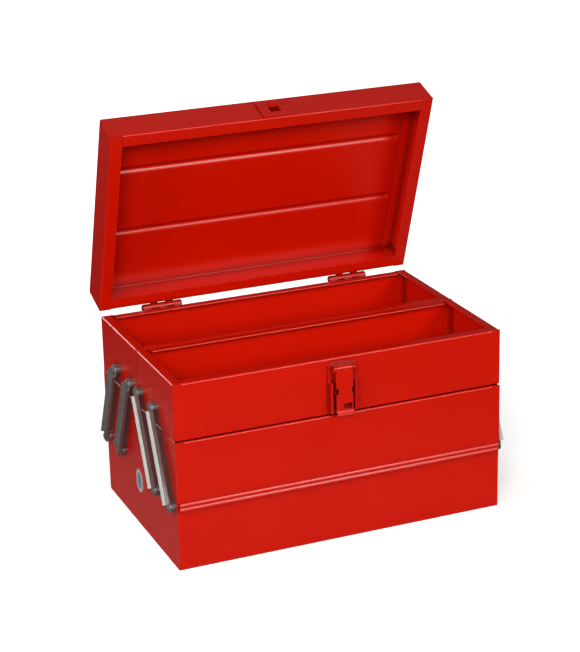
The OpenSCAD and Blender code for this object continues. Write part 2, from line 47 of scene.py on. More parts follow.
# ---- sizes of the sheet-steel shells
HALF_W = 200.0
HALF_D = 124.3
UPPER_D = 125.7
BASE_TOP = 154.5
STEP_Z = 83.0
BEAD_Z = 72.0
BEAD_D = 128.5
GROOVE = 1.4
SHEET = 1.0
FOLD = 2.2
RIM = 11.5
HEM = 5.0
NOTCH = 4.0
TRAY_Z = 155.0
TRAY_TOP = 222.2
FRONT_Y = (-124.3, -3.4)
REAR_Y = (-2.6, 124.3)

# ---- arms
ARM_X = 205.0
ARM_DEPTH = 5.6
ARM_W = 14.0
ARM_SHEET = 1.5
ARM_CUT = 3.0
FLARE = 1.1
LOW_Z = 74.4
UP_Z = 175.7
LOW_Y = (112.3, 62.3)
LEAN = 47.3
ARM_LENGTH = math.hypot(LEAN, UP_Z - LOW_Z)
ARM_ANGLE = math.atan2(LEAN, UP_Z - LOW_Z)

# ---- lid, modelled shut and turned open about the hinge line
LID_HALF = 200.5
LID_Y = (-119.5, 124.5)
LID_Z = (222.7, 262.7)
LID_RIM = 14.5
RIBS = (-45.0, 42.0)
RIB_W = 12.0
RIB_H = 3.0
HINGE = (129.6, 222.6)
OPEN = math.radians(70.55)

# ---- hasp
HASP_Y = -130.3
HASP_Z = 210.5
HASP_HALF = 10.4

OPEN_LID = (
    Matrix.Translation(Vector((0, HINGE[0], HINGE[1])) * MM)
    @ Matrix.Rotation(-OPEN, 4, "X")
    @ Matrix.Translation(Vector((0, -HINGE[0], -HINGE[1])) * MM)
)


# ---- working by hand: what is selected, and what is done to it

def put_down():
    if bpy.context.mode != "OBJECT":
        bpy.ops.object.mode_set(mode="OBJECT")
    bpy.ops.object.select_all(action="DESELECT")


def take_up(piece):
    put_down()
    piece.select_set(True)
    bpy.context.view_layer.objects.active = piece
    bpy.ops.object.mode_set(mode="EDIT")
    bpy.ops.mesh.select_all(action="DESELECT")


def pick_faces(test):
    """Selects the faces whose middle (mm) and normal pass the test."""
    bpy.ops.mesh.select_all(action="DESELECT")
    bpy.ops.mesh.select_mode(type="FACE")
    bm = bmesh.from_edit_mesh(bpy.context.object.data)
    for f in bm.faces:
        f.select_set(bool(test(f.calc_center_median() / MM, f.normal)))
    bmesh.update_edit_mesh(bpy.context.object.data)


def pick_edges(test):
    """Selects the edges whose two ends (mm) pass the test."""
    bpy.ops.mesh.select_all(action="DESELECT")
    bpy.ops.mesh.select_mode(type="EDGE")
    bm = bmesh.from_edit_mesh(bpy.context.object.data)
    for e in bm.edges:
        e.select_set(bool(test(e.verts[0].co / MM, e.verts[1].co / MM)))
    bmesh.update_edit_mesh(bpy.context.object.data)


def pick_points(test):
    """Selects the points (mm) that pass the test."""
    bpy.ops.mesh.select_all(action="DESELECT")
    bpy.ops.mesh.select_mode(type="VERT")
    bm = bmesh.from_edit_mesh(bpy.context.object.data)
    for v in bm.verts:
        v.select_set(bool(test(v.co / MM)))
    bm.select_flush(True)
    bmesh.update_edit_mesh(bpy.context.object.data)


def near(a, b, by=0.05):
    return abs(a - b) < by


def mark(axis, place):
    """Scores a line right through the piece where axis is at place."""
    bpy.ops.mesh.select_all(action="SELECT")
    co = Vector((0, 0, 0))
    no = Vector((0, 0, 0))
    co[axis] = place * MM
    no[axis] = 1
    bpy.ops.mesh.bisect(plane_co=co, plane_no=no)


def pull(x, y, z):
    bpy.ops.mesh.extrude_region_move(TRANSFORM_OT_translate={"value": (x * MM, y * MM, z * MM)})


def shift(x, y, z):
    bpy.ops.transform.translate(value=(x * MM, y * MM, z * MM))


def round_over(width, steps=4):
    bpy.ops.mesh.bevel(offset=width * MM, segments=steps, affect="EDGES")


def block(name, low, high):
    put_down()
    mid = [(a + b) / 2 * MM for a, b in zip(low, high)]
    size = [(b - a) * MM for a, b in zip(low, high)]
    bpy.ops.mesh.primitive_cube_add(size=1, location=mid, scale=size)
    piece = bpy.context.object
    piece.name = name
    piece.data.name = name
    bpy.ops.object.transform_apply(location=True, rotation=True, scale=True)
    return piece


def even_normals():
    bpy.ops.mesh.select_all(action="SELECT")
    bpy.ops.mesh.remove_doubles(threshold=0.00002)
    bpy.ops.mesh.normals_make_consistent(inside=False)


def finish_modifiers(piece):
    put_down()
    piece.select_set(True)
    bpy.context.view_layer.objects.active = piece
    for m in list(piece.modifiers):
        bpy.ops.object.modifier_apply(modifier=m.name)


def give_wall(piece, thick, edge=0.3, steps=2):
    """Turns the folded skin into sheet of that thickness, inwards, with its cut edges eased."""
    put_down()
    wall = piece.modifiers.new("wall", "SOLIDIFY")
    wall.thickness = thick * MM
    wall.offset = -1
    wall.use_even_offset = True
    ease = piece.modifiers.new("eased edges", "BEVEL")
    ease.width = edge * MM
    ease.segments = steps
    ease.limit_method = "ANGLE"
    ease.angle_limit = math.radians(50)
    finish_modifiers(piece)


def smooth(piece, angle=35):
    put_down()
    piece.select_set(True)
    bpy.context.view_layer.objects.active = piece
    bpy.ops.object.shade_smooth_by_angle(angle=math.radians(angle))
    # the wide flats set the shading, so that small folds do not bend it
    flat = piece.modifiers.new("flat panels", "WEIGHTED_NORMAL")
    flat.keep_sharp = True
    flat.weight = 80
    finish_modifiers(piece)


def cut_out(piece, low, high, rounding=0.0, tight=False):
    """Punches a straight hole through the piece, along the punch's thin way, X or Y. A piece with
    tight folds has walls that cross inside its corners."""
    punch = block("punch", low, high)
    if rounding:
        across = 0 if high[2] - low[2] < 10 and high[0] - low[0] > 20 else 1
        take_up(punch)
        pick_edges(lambda a, b: not near(a[across], b[across]) and near(a[1 - across], b[1 - across])
                   and near(a.z, b.z))
        round_over(rounding, 3)
        put_down()
    hole = piece.modifiers.new("hole", "BOOLEAN")
    hole.object = punch
    hole.solver = "EXACT"
    hole.use_self = tight
    finish_modifiers(piece)
    bpy.data.objects.remove(punch, do_unlink=True)


def place(piece, body, *nodes):
    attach(piece, body)
    if nodes:
        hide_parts(*nodes)


def lay_open(piece):
    put_down()
    piece.select_set(True)
    bpy.context.view_layer.objects.active = piece
    piece.matrix_world = OPEN_LID
    bpy.ops.object.transform_apply(location=True, rotation=True, scale=True)


# ---- folded shells

def turn_rim(y, inwards, top, stop):
    """Folds the wall's top edge inwards and hems it under, between -stop and stop."""
    pick_edges(lambda a, b: near(a.y, y) and near(b.y, y) and near(a.z, top) and near(b.z, top)
               and abs(a.x + b.x) / 2 < stop)
    pull(0, inwards * RIM, 0)
    pull(0, 0, -2 * SHEET)
    pull(0, -inwards * HEM, 0)
    pick_edges(lambda a, b: near(a.y, y + inwards * RIM) and near(b.y, y + inwards * RIM)
               and near(a.z, b.z) and a.z > top - 3)
    round_over(SHEET * 0.96, 3)
    pick_edges(lambda a, b: near(a.y, y) and near(b.y, y) and near(a.z, top) and near(b.z, top)
               and abs(a.x + b.x) / 2 < stop)
    round_over(FOLD, 4)


def fold_tray(name, ys, body, node):
    piece = block(name, (-HALF_W, ys[0], TRAY_Z), (HALF_W, ys[1], TRAY_TOP))
    take_up(piece)
    pick_faces(lambda c, n: n.z > 0.9 or abs(n.x) > 0.9)
    bpy.ops.mesh.delete(type="FACE")
    front_stop = HALF_W - RIM - 0.3
    rear_stop = HALF_W - RIM - NOTCH
    for x in (-front_stop, -rear_stop, rear_stop, front_stop):
        mark(0, x)
    pick_edges(lambda a, b: near(a.z, TRAY_Z) and near(b.z, TRAY_Z) and near(a.y, b.y))
    round_over(FOLD, 4)
    turn_rim(ys[0], 1, TRAY_TOP, front_stop)
    turn_rim(ys[1], -1, TRAY_TOP, rear_stop)
    even_normals()
    give_wall(piece, SHEET)
    smooth(piece)
    place(piece, body, node)
    return piece


def fold_base():
    piece = block("base_wrap", (-HALF_W, -HALF_D, 0), (HALF_W, HALF_D, BASE_TOP))
    take_up(piece)
    pick_faces(lambda c, n: n.z > 0.9 or abs(n.x) > 0.9)
    bpy.ops.mesh.delete(type="FACE")
    bead_end = HALF_W - 2.0
    front_stop = HALF_W - RIM - 0.3
    rear_stop = HALF_W - RIM - NOTCH
    for x in (-bead_end, -front_stop, -rear_stop, rear_stop, front_stop, bead_end):
        mark(0, x)
    # the bead's section: height of each line scored along the strip and how far it lies behind the
    # crest; each of its two laps leans out as it comes down and turns sharply under
    lap = (STEP_Z - BEAD_Z) / 2
    section = [(STEP_Z, 2.2)]
    for foot in (BEAD_Z, BEAD_Z + lap):
        for up, back in ((0, 1), (0.16, 0), (0.32, 0.06), (0.5, 0.27), (0.68, 0.55), (0.86, 0.9)):
            section.append((foot + up * lap, back * GROOVE))
    for z, back in section:
        mark(2, z)
    # the upper half is set out a little
    for side in (-1, 1):
        pick_points(lambda p: p.y * side > 0 and p.z > STEP_Z - 0.05)
        shift(0, side * (UPPER_D - HALF_D), 0)
    # the bead is pressed out of the strip between the two halves, with a groove down its middle
    for side in (-1, 1):
        pick_faces(lambda c, n: BEAD_Z < c.z < STEP_Z and c.y * side > 0 and abs(c.x) < bead_end)
        pull(0, side * 3.0, 0)
        pick_points(lambda p: p.y * side > 126.9 and BEAD_Z - 0.1 < p.z < STEP_Z + 0.1)
        bpy.ops.transform.resize(value=(1, 0, 1), center_override=(0, side * BEAD_D * MM, 0))
        for z, back in section:
            if back > 0:
                pick_points(lambda p: near(p.y, side * BEAD_D) and near(p.z, z))
                shift(0, -side * back, 0)
    pick_edges(lambda a, b: near(a.z, 0) and near(b.z, 0) and near(a.y, b.y))
    round_over(FOLD, 4)
    turn_rim(-UPPER_D, 1, BASE_TOP, front_stop)
    turn_rim(UPPER_D, -1, BASE_TOP, rear_stop)
    even_normals()
    give_wall(piece, SHEET)
    smooth(piece)
    place(piece, "base", "base_shell")
    return piece


def press_end(name, side, ys, zs, body, node, step=0.0, half=HALF_W):
    """An end plate with its flanges turned in all round and its top rim hemmed."""
    inner = side * (half - RIM)
    outer = side * half
    piece = block(name, (min(inner, outer), ys[0] + SHEET, zs[0] + SHEET),
                  (max(inner, outer), ys[1] - SHEET, zs[1]))
    take_up(piece)
    pick_faces(lambda c, n: n.x * side < -0.9)
    bpy.ops.mesh.delete(type="FACE")
    if step:
        mark(2, STEP_Z)
        mark(2, STEP_Z + SHEET)
        for s in (-1, 1):
            pick_points(lambda p: p.y * s > 0 and p.z > STEP_Z + SHEET - 0.05)
            shift(0, s * step, 0)
    # the rim's corners stay clear of the folds in the long walls
    pick_edges(lambda a, b: near(a.x, inner) and near(b.x, inner) and near(a.z, zs[1])
               and near(b.z, zs[1]))
    pull(0, 0, -2 * SHEET)
    pull(side * HEM, 0, 0)
    pick_edges(lambda a, b: near(a.x, inner) and near(b.x, inner) and near(a.z, b.z)
               and a.z > zs[1] - 3 and abs(a.y - b.y) > 20)
    round_over(SHEET * 0.96, 3)
    pick_edges(lambda a, b: near(a.x, outer) and near(b.x, outer) and near(a.z, zs[1])
               and near(b.z, zs[1]))
    round_over(FOLD, 4)
    pick_edges(lambda a, b: near(a.x, outer) and near(b.x, outer)
               and ((near(a.z, b.z) and near(a.z, zs[0] + SHEET)) or
                    (abs(a.z - b.z) > 0.5 and abs(a.y) > 2 and a.y * b.y > 0
                     and near(abs(a.y), abs(b.y), step + 0.1)
                     and (abs(a.y - ys[0]) < 2.7 or abs(a.y - ys[1]) < 2.7))))
    round_over(1.0, 2)
    even_normals()
    give_wall(piece, SHEET)
    smooth(piece)
    place(piece, body, node)
    return piece


# ---- arms

def fold_arm():
    """One channel arm, its lower pivot on the X axis, its web at ARM_X, standing straight up."""
    put_down()
    half = ARM_W / 2
    bpy.ops.mesh.primitive_plane_add(
        size=1, location=(ARM_X * MM, 0, ARM_LENGTH / 2 * MM), rotation=(0, math.radians(90), 0))
    piece = bpy.context.object
    piece.scale = ((ARM_LENGTH + ARM_W) * MM, ARM_W * MM, 1)
    bpy.ops.object.transform_apply(location=True, rotation=True, scale=True)
    take_up(piece)
    low, high = ARM_CUT, ARM_LENGTH - ARM_CUT
    mark(2, low)
    mark(2, high)
    for side in (-1, 1):
        pick_edges(lambda a, b: near(a.y, side * half) and near(b.y, side * half)
                   and low - 1 < (a.z + b.z) / 2 < high + 1)
        pull(ARM_DEPTH - 0.35, side * FLARE, 0)
        pick_edges(lambda a, b: near(a.y, side * half) and near(b.y, side * half) and near(a.x, ARM_X)
                   and near(b.x, ARM_X) and low - 1 < (a.z + b.z) / 2 < high + 1)
        round_over(1.9, 4)
    pick_points(lambda p: near(abs(p.y), half) and (p.z < -half + 0.1 or p.z > ARM_LENGTH + half - 0.1))
    bpy.ops.mesh.bevel(offset=7.3 * MM, segments=8, affect="VERTICES")
    even_normals()
    pick_faces(lambda c, n: abs(n.x) > 0.9)
    bm = bmesh.from_edit_mesh(piece.data)
    facing = sum(f.normal.x for f in bm.faces if f.select)
    if facing > 0:
        bpy.ops.mesh.select_all(action="SELECT")
        bpy.ops.mesh.flip_normals()
    give_wall(piece, ARM_SHEET, 0.3, 2)
    smooth(piece)
    return piece


def stand_arms():
    pattern = fold_arm()
    for part, way in (("front", -1), ("rear", 1)):
        for order, y in zip(("outer", "inner"), LOW_Y):
            for end, side in (("left", -1), ("right", 1)):
                piece = pattern.copy()
                piece.data = pattern.data.copy()
                name = "arm_%s_%s_%s" % (part, end, order)
                piece.name = "channel_" + name
                piece.data.name = piece.name
                bpy.context.collection.objects.link(piece)
                turned = Matrix.Translation(Vector((0, way * y, LOW_Z)) * MM) @ Matrix.Rotation(
                    way * ARM_ANGLE, 4, "X")
                if side < 0:
                    turned = Matrix.Scale(-1, 4, (1, 0, 0)) @ turned
                piece.matrix_world = turned
                put_down()
                piece.select_set(True)
                bpy.context.view_layer.objects.active = piece
                bpy.ops.object.transform_apply(location=True, rotation=True, scale=True)
                if side < 0:
                    take_up(piece)
                    bpy.ops.mesh.select_all(action="SELECT")
                    bpy.ops.mesh.normals_make_consistent(inside=False)
                    put_down()
                place(piece, name, name)
                piece.data.materials.clear()
                piece.data.materials.append(MATS["zinc_arm"])
    bpy.data.objects.remove(pattern, do_unlink=True)


# ---- lid

def press_ribs(rib_end, top):
    """Presses the two rounded ribs up out of the flat of the lid: the lines that carry the section are
    scored first, then the points between them are pushed out as far as the section asks."""
    half = RIB_W / 2 + 0.6
    across = [half * i / 6 for i in range(-6, 7)]
    along = [rib_end - half * i / 4 for i in range(5)]
    for y in RIBS:
        for d in across:
            mark(1, y + d)
    for x in along:
        mark(0, x)
        mark(0, -x)
    for y in RIBS:
        for d in across[1:-1]:
            for x in along[1:]:
                past = max(0.0, x - along[-1])
                far = math.hypot(past, d)
                if far >= half:
                    continue
                up = RIB_H * 0.5 * (1 + math.cos(math.pi * far / half))
                if x == along[-1]:
                    pick_points(lambda p: near(p.z, top) and near(p.y, y + d) and abs(p.x) < x + 0.05)
                else:
                    pick_points(lambda p: near(p.z, top) and near(p.y, y + d) and near(abs(p.x), x))
                shift(0, 0, up)


def fold_lid():
    piece = block("lid_wrap", (-LID_HALF, LID_Y[0], LID_Z[0]), (LID_HALF, LID_Y[1], LID_Z[1]))
    take_up(piece)
    pick_faces(lambda c, n: n.z < -0.9 or abs(n.x) > 0.9)
    bpy.ops.mesh.delete(type="FACE")
    stop = LID_HALF - LID_RIM - 0.3
    rib_end = LID_HALF - 15.0
    top = LID_Z[1]
    for x in (-stop, stop):
        mark(0, x)
    press_ribs(rib_end, top)
    even_normals()
    for y, way in ((LID_Y[0], 1), (LID_Y[1], -1)):
        pick_edges(lambda a, b: near(a.y, y) and near(b.y, y) and near(a.z, LID_Z[0])
                   and near(b.z, LID_Z[0]) and abs(a.x + b.x) / 2 < stop)
        pull(0, way * LID_RIM, 0)
        pick_edges(lambda a, b: near(a.y, y) and near(b.y, y) and near(a.z, LID_Z[0])
                   and near(b.z, LID_Z[0]) and abs(a.x + b.x) / 2 < stop)
        round_over(1.6, 3)
        pick_edges(lambda a, b: near(a.y, y) and near(b.y, y) and near(a.z, top) and near(b.z, top))
        round_over(FOLD, 4)
    even_normals()
    give_wall(piece, SHEET)
    cut_out(piece, (3 - 6.75, LID_Y[0] - 3, 233), (3 + 6.75, LID_Y[0] + 3, 246), 1.0)
    smooth(piece)
    lay_open(piece)
    place(piece, "lid", "lid_shell")
    return piece


def press_lid_end(name, side, node):
    inner = side * (LID_HALF - LID_RIM)
    outer = side * LID_HALF
    piece = block(name, (min(inner, outer), LID_Y[0] + SHEET, LID_Z[0]),
                  (max(inner, outer), LID_Y[1] - SHEET, LID_Z[1] - SHEET))
    take_up(piece)
    pick_faces(lambda c, n: n.x * side < -0.9)
    bpy.ops.mesh.delete(type="FACE")
    pick_edges(lambda a, b: near(a.x, outer) and near(b.x, outer) and near(a.z, LID_Z[0])
               and near(b.z, LID_Z[0]))
    round_over(1.6, 3)
    pick_edges(lambda a, b: near(a.x, outer) and near(b.x, outer)
               and (abs(a.z - b.z) > 5 or near(a.z, LID_Z[1] - SHEET)) and a.y * b.y != 0
               and (near(a.y, b.y) or near(a.z, LID_Z[1] - SHEET)))
    round_over(1.0, 2)
    even_normals()
    give_wall(piece, SHEET)
    smooth(piece)
    lay_open(piece)
    place(piece, "lid", node)
    return piece


# ---- hasp and grip

def fold_hasp():
    front, back = HASP_Y - 3.7, HASP_Y + 3.7
    foot, top = HASP_Z - 49, HASP_Z + 4
    piece = block("hasp_channel", (-HASP_HALF, front, foot), (HASP_HALF, back, top))
    take_up(piece)
    pick_faces(lambda c, n: n.y > 0.9 or n.z < -0.9)
    bpy.ops.mesh.delete(type="FACE")
    pick_edges(lambda a, b: near(a.y, front) and near(b.y, front) and near(a.z, foot) and near(b.z, foot))
    pull(0, -0.4, -1.0)
    pull(0, -2.6, -4.0)
    pick_edges(lambda a, b: near(a.y, front) and near(b.y, front) and near(a.z, top) and near(b.z, top))
    round_over(3.4, 5)
    pick_edges(lambda a, b: near(abs(a.x), HASP_HALF) and near(a.x, b.x) and a.z > foot - 0.1 and b.z > foot - 0.1
               and a.y < back - 0.2 and b.y < back - 0.2)
    round_over(1.3, 3)
    even_normals()
    give_wall(piece, 1.2, 0.25, 2)
    # the padlock's staple breaks through both front corners of the channel
    for side in (-1, 1):
        notch = sorted((side * (HASP_HALF + 2), side * (HASP_HALF - 2.4)))
        cut_out(piece, (notch[0], front - 1.5, HASP_Z - 29.5), (notch[1], HASP_Y - 0.4, HASP_Z - 22.5), 0.9,
                True)
    cut_out(piece, (3 - 5.5, front - 3, HASP_Z - 47.5), (3 + 5.5, front + 2.5, HASP_Z - 41), 1.0, True)
    cut_out(piece, (-HASP_HALF - 2, HASP_Y - 2.4, HASP_Z - 30.5), (HASP_HALF + 2, HASP_Y + 2.2, HASP_Z - 21.5),
            2.2, True)
    smooth(piece)
    place(piece, "hasp", "hasp_lever")
    return piece


def mould_grip():
    """The grip: a tube with rounded, recessed ends and shallow rings."""
    put_down()
    y, z = 64.0, 269.7
    bpy.ops.mesh.primitive_cylinder_add(
        vertices=40, radius=6.5 * MM, depth=88 * MM, end_fill_type="NGON",
        location=(0, y * MM, z * MM), rotation=(0, math.radians(90), 0))
    piece = bpy.context.object
    piece.name = "moulded_grip"
    bpy.ops.object.transform_apply(location=True, rotation=True, scale=True)
    take_up(piece)
    rings = [x for x in range(-33, 34, 6)]
    for x in rings:
        for d in (-0.9, 0, 0.9):
            mark(0, x + d)
    for x in rings:
        pick_points(lambda p: near(p.x, x))
        bpy.ops.transform.resize(value=(1, 0.9, 0.9), center_override=(0, y * MM, z * MM))
    for x in (-44, 44):
        pick_faces(lambda c, n: near(c.x, x) and abs(n.x) > 0.9)
        bpy.ops.mesh.inset(thickness=2.9 * MM)
        pull(-2 * (1 if x > 0 else -1), 0, 0)
        pick_edges(lambda a, b: near(a.x, x) and near(b.x, x))
        round_over(0.7, 2)
    put_down()
    smooth(piece)
    lay_open(piece)
    place(piece, "handle", "handle_grip")
    return piece


# ---- finishes

def hexa(code):
    """An sRGB hex colour as linear light."""
    out = []
    for i in (1, 3, 5):
        c = int(code[i:i + 2], 16) / 255
        out.append(c / 12.92 if c <= 0.04045 else ((c + 0.055) / 1.055) ** 2.4)
    return (*out, 1)


def add(tree, kind, settings=None, links=None):
    """Adds a node, sets its properties and sockets, and links its inputs."""
    node = tree.nodes.new(kind)
    for key, value in (settings or {}).items():
        if isinstance(key, str) and hasattr(node, key) and key not in node.inputs:
            setattr(node, key, value)
        else:
            node.inputs[key].default_value = value
    for key, source in (links or {}).items():
        tree.links.new(source, node.inputs[key])
    return node


def begin(name):
    mat = bpy.data.materials.new(name)
    mat.use_nodes = True
    mat.node_tree.nodes.clear()
    return mat, mat.node_tree


def red_enamel():
    """Stoving enamel sprayed on sheet steel: deep red gloss with a fine orange peel, panels that are
    not quite flat after folding, edges where the coat has thinned and rubbed, and painted shade darkening its seams
    and corners."""
    mat, t = begin("red_stoving_enamel_on_sheet_steel")
    at = add(t, "ShaderNodeTexCoord").outputs["Object"]
    # depth of colour drifts over about 120 mm
    drift = add(t, "ShaderNodeTexNoise", {"Scale": 8.0, "Detail": 1.0, "Roughness": 0.5}, {"Vector": at})
    tone = add(t, "ShaderNodeMix", {"data_type": "RGBA", 6: hexa("#c51000"), 7: hexa("#cf1500")},
               {0: drift.outputs["Fac"]})
    # the coat pulls away from folded edges: the last 1 mm is lighter and duller
    edge = add(t, "ShaderNodeBevel", {"samples": 4, "Radius": 0.0009})
    square = add(t, "ShaderNodeNewGeometry")
    turn = add(t, "ShaderNodeVectorMath", {"operation": "DOT_PRODUCT"},
               {0: edge.outputs["Normal"], 1: square.outputs["Normal"]})
    worn = add(t, "ShaderNodeTexNoise", {"Scale": 55.0, "Detail": 3.0, "Roughness": 0.6}, {"Vector": at})
    edges = add(t, "ShaderNodeMapRange", {"From Min": 0.995, "From Max": 0.9, "To Min": 0.0, "To Max": 1.0},
                {"Value": turn.outputs["Value"]})
    patchy = add(t, "ShaderNodeMapRange", {"From Min": 0.45, "From Max": 0.75, "To Min": 0.05, "To Max": 0.55},
                 {"Value": worn.outputs["Fac"]})
    thin = add(t, "ShaderNodeMath", {"operation": "MULTIPLY"}, {0: edges.outputs[0], 1: patchy.outputs[0]})
    rubbed = add(t, "ShaderNodeMix", {"data_type": "RGBA", 7: hexa("#d8503c")},
                 {0: thin.outputs[0], 6: tone.outputs[2]})
    # painted shade: the colour is darkened towards #4a0400 in seams and corners narrower than about 12 mm, where
    # shade falls
    nook = add(t, "ShaderNodeAmbientOcclusion", {"samples": 6, "Distance": 0.012})
    crease_shade_ramp = add(t, "ShaderNodeMapRange", {"From Min": 0.35, "From Max": 0.93, "To Min": 0.85, "To Max": 0.0},
               {"Value": nook.outputs["AO"]})
    # the painted shade is left off the bottom 4 mm and fades in up to 16 mm
    height = add(t, "ShaderNodeSeparateXYZ", {}, {0: at})
    foot = add(t, "ShaderNodeMapRange", {"From Min": 0.004, "From Max": 0.016}, {"Value": height.outputs["Z"]})
    painted_crease_shade = add(t, "ShaderNodeMath", {"operation": "MULTIPLY"}, {0: crease_shade_ramp.outputs[0], 1: foot.outputs[0]})
    # the colour with the painted shade of the seams and corners mixed in
    coat_tone = add(t, "ShaderNodeMix", {"data_type": "RGBA", 7: hexa("#4a0400")},
                    {0: painted_crease_shade.outputs[0], 6: rubbed.outputs[2]})
    # orange peel, about 3 mm from crest to crest, over slow waves in the sheet of about 110 mm
    peel = add(t, "ShaderNodeTexNoise", {"Scale": 330.0, "Detail": 0.0}, {"Vector": at})
    wave = add(t, "ShaderNodeTexNoise", {"Scale": 9.0, "Detail": 0.0}, {"Vector": at})
    waves = add(t, "ShaderNodeBump", {"Strength": 1.0, "Distance": 0.0003}, {"Height": wave.outputs["Fac"]})
    skin = add(t, "ShaderNodeBump", {"Strength": 1.0, "Distance": 0.000004},
               {"Height": peel.outputs["Fac"], "Normal": waves.outputs["Normal"]})
    # even gloss on the flats, duller where the edges are rubbed
    dull = add(t, "ShaderNodeMath", {"operation": "MULTIPLY_ADD", 1: 0.16, 2: 0.26}, {0: thin.outputs[0]})
    coat = add(t, "ShaderNodeBsdfPrincipled", {"IOR": 1.5, "Specular IOR Level": 0.42},
               {"Base Color": coat_tone.outputs[2], "Roughness": dull.outputs[0], "Normal": skin.outputs["Normal"]})
    add(t, "ShaderNodeOutputMaterial", {}, {"Surface": coat.outputs[0]})
    return mat


def zinc(name, dark, light, low, high):
    """Electroplated zinc on mild steel, gone dull: a grey, slightly cloudy metal with fine drawing
    marks, under a thin pale oxide that scatters some of the light."""
    mat, t = begin(name)
    place_ = add(t, "ShaderNodeTexCoord")
    at = place_.outputs["Object"]
    cloud = add(t, "ShaderNodeTexNoise", {"Scale": 90.0, "Detail": 4.0, "Roughness": 0.6}, {"Vector": at})
    tone = add(t, "ShaderNodeMix", {"data_type": "RGBA", 6: hexa(dark), 7: hexa(light)},
               {0: cloud.outputs["Fac"]})
    # drawing marks run up the strip, about 0.4 mm apart
    squeeze = add(t, "ShaderNodeMapping", {"Scale": (2500.0, 2500.0, 60.0)}, {"Vector": at})
    marks = add(t, "ShaderNodeTexNoise", {"Scale": 1.0, "Detail": 2.0, "Roughness": 0.5},
                {"Vector": squeeze.outputs[0]})
    rough = add(t, "ShaderNodeMapRange", {"From Min": 0.3, "From Max": 0.7, "To Min": low, "To Max": high},
                {"Value": cloud.outputs["Fac"]})
    bump = add(t, "ShaderNodeBump", {"Strength": 0.15, "Distance": 0.00003}, {"Height": marks.outputs["Fac"]})
    metal = add(t, "ShaderNodeBsdfPrincipled", {"Metallic": 0.72},
                {"Base Color": tone.outputs[2], "Roughness": rough.outputs[0], "Normal": bump.outputs[0]})
    add(t, "ShaderNodeOutputMaterial", {}, {"Surface": metal.outputs[0]})
    return mat


def grip_plastic():
    """Moulded PVC: near black, spark-eroded texture of about 0.8 mm, a dull sheen."""
    mat, t = begin("black_moulded_pvc")
    at = add(t, "ShaderNodeTexCoord").outputs["Object"]
    grain = add(t, "ShaderNodeTexNoise", {"Scale": 1200.0, "Detail": 2.0, "Roughness": 0.6}, {"Vector": at})
    bump = add(t, "ShaderNodeBump", {"Strength": 0.3, "Distance": 0.00008}, {"Height": grain.outputs["Fac"]})
    worn = add(t, "ShaderNodeTexNoise", {"Scale": 70.0, "Detail": 3.0, "Roughness": 0.6}, {"Vector": at})
    rough = add(t, "ShaderNodeMapRange", {"From Min": 0.3, "From Max": 0.7, "To Min": 0.45, "To Max": 0.62},
                {"Value": worn.outputs["Fac"]})
    tone = add(t, "ShaderNodeMix", {"data_type": "RGBA", 6: hexa("#17171a"), 7: hexa("#222226")},
               {0: worn.outputs["Fac"]})
    body = add(t, "ShaderNodeBsdfPrincipled", {"IOR": 1.5},
               {"Base Color": tone.outputs[2], "Roughness": rough.outputs[0], "Normal": bump.outputs[0]})
    add(t, "ShaderNodeOutputMaterial", {}, {"Surface": body.outputs[0]})
    return mat


def label_film():
    """Polyester film left blank: a silver border about 1.6 mm wide round a blue-grey field, satin, with
    a faint tooth that breaks up its sheen."""
    mat, t = begin("blank_silver_polyester_film")
    at = add(t, "ShaderNodeTexCoord").outputs["Object"]
    tooth = add(t, "ShaderNodeTexNoise", {"Scale": 900.0, "Detail": 2.0, "Roughness": 0.5}, {"Vector": at})
    silver = add(t, "ShaderNodeMix", {"data_type": "RGBA", 6: hexa("#cfcdcd"), 7: hexa("#e0dede")},
                 {0: tooth.outputs["Fac"]})
    field = add(t, "ShaderNodeMix", {"data_type": "RGBA", 6: hexa("#7f8aa2"), 7: hexa("#98a2b5")},
                {0: tooth.outputs["Fac"]})
    # the field is an upright oval on the middle of the film
    seat = add(t, "ShaderNodeVectorMath", {"operation": "SUBTRACT", 1: (-HALF_W * MM, 7.0 * MM, 57.2 * MM)},
               {0: at})
    squash = add(t, "ShaderNodeVectorMath", {"operation": "MULTIPLY", 1: (0.0, 1000 / 7.2, 1000 / 10.2)},
                 {0: seat.outputs["Vector"]})
    out_from = add(t, "ShaderNodeVectorMath", {"operation": "LENGTH"}, {0: squash.outputs["Vector"]})
    border = add(t, "ShaderNodeMapRange", {"From Min": 0.97, "From Max": 1.03}, {"Value": out_from.outputs["Value"]})
    tone = add(t, "ShaderNodeMix", {"data_type": "RGBA"},
               {0: border.outputs[0], 6: field.outputs[2], 7: silver.outputs[2]})
    bump = add(t, "ShaderNodeBump", {"Strength": 0.1, "Distance": 0.00003}, {"Height": tooth.outputs["Fac"]})
    film = add(t, "ShaderNodeBsdfPrincipled", {"Metallic": 0.3, "Roughness": 0.38, "IOR": 1.6},
               {"Base Color": tone.outputs[2], "Normal": bump.outputs[0]})
    add(t, "ShaderNodeOutputMaterial", {}, {"Surface": film.outputs[0]})
    return mat


MATS = {
    "red_enamel": red_enamel(),
    "zinc_arm": zinc("dull_zinc_plated_strip", "#7f8180", "#a3a5a3", 0.4, 0.52),
    "plated_steel": zinc("greyed_zinc_plated_wire_and_rivets", "#6a6d6e", "#8a8d8d", 0.46, 0.58),
    "grip_plastic": grip_plastic(),
    "blank_label": label_film(),
}


def paint(piece, slot):
    piece.data.materials.clear()
    piece.data.materials.append(MATS[slot])


# ---- make the shells

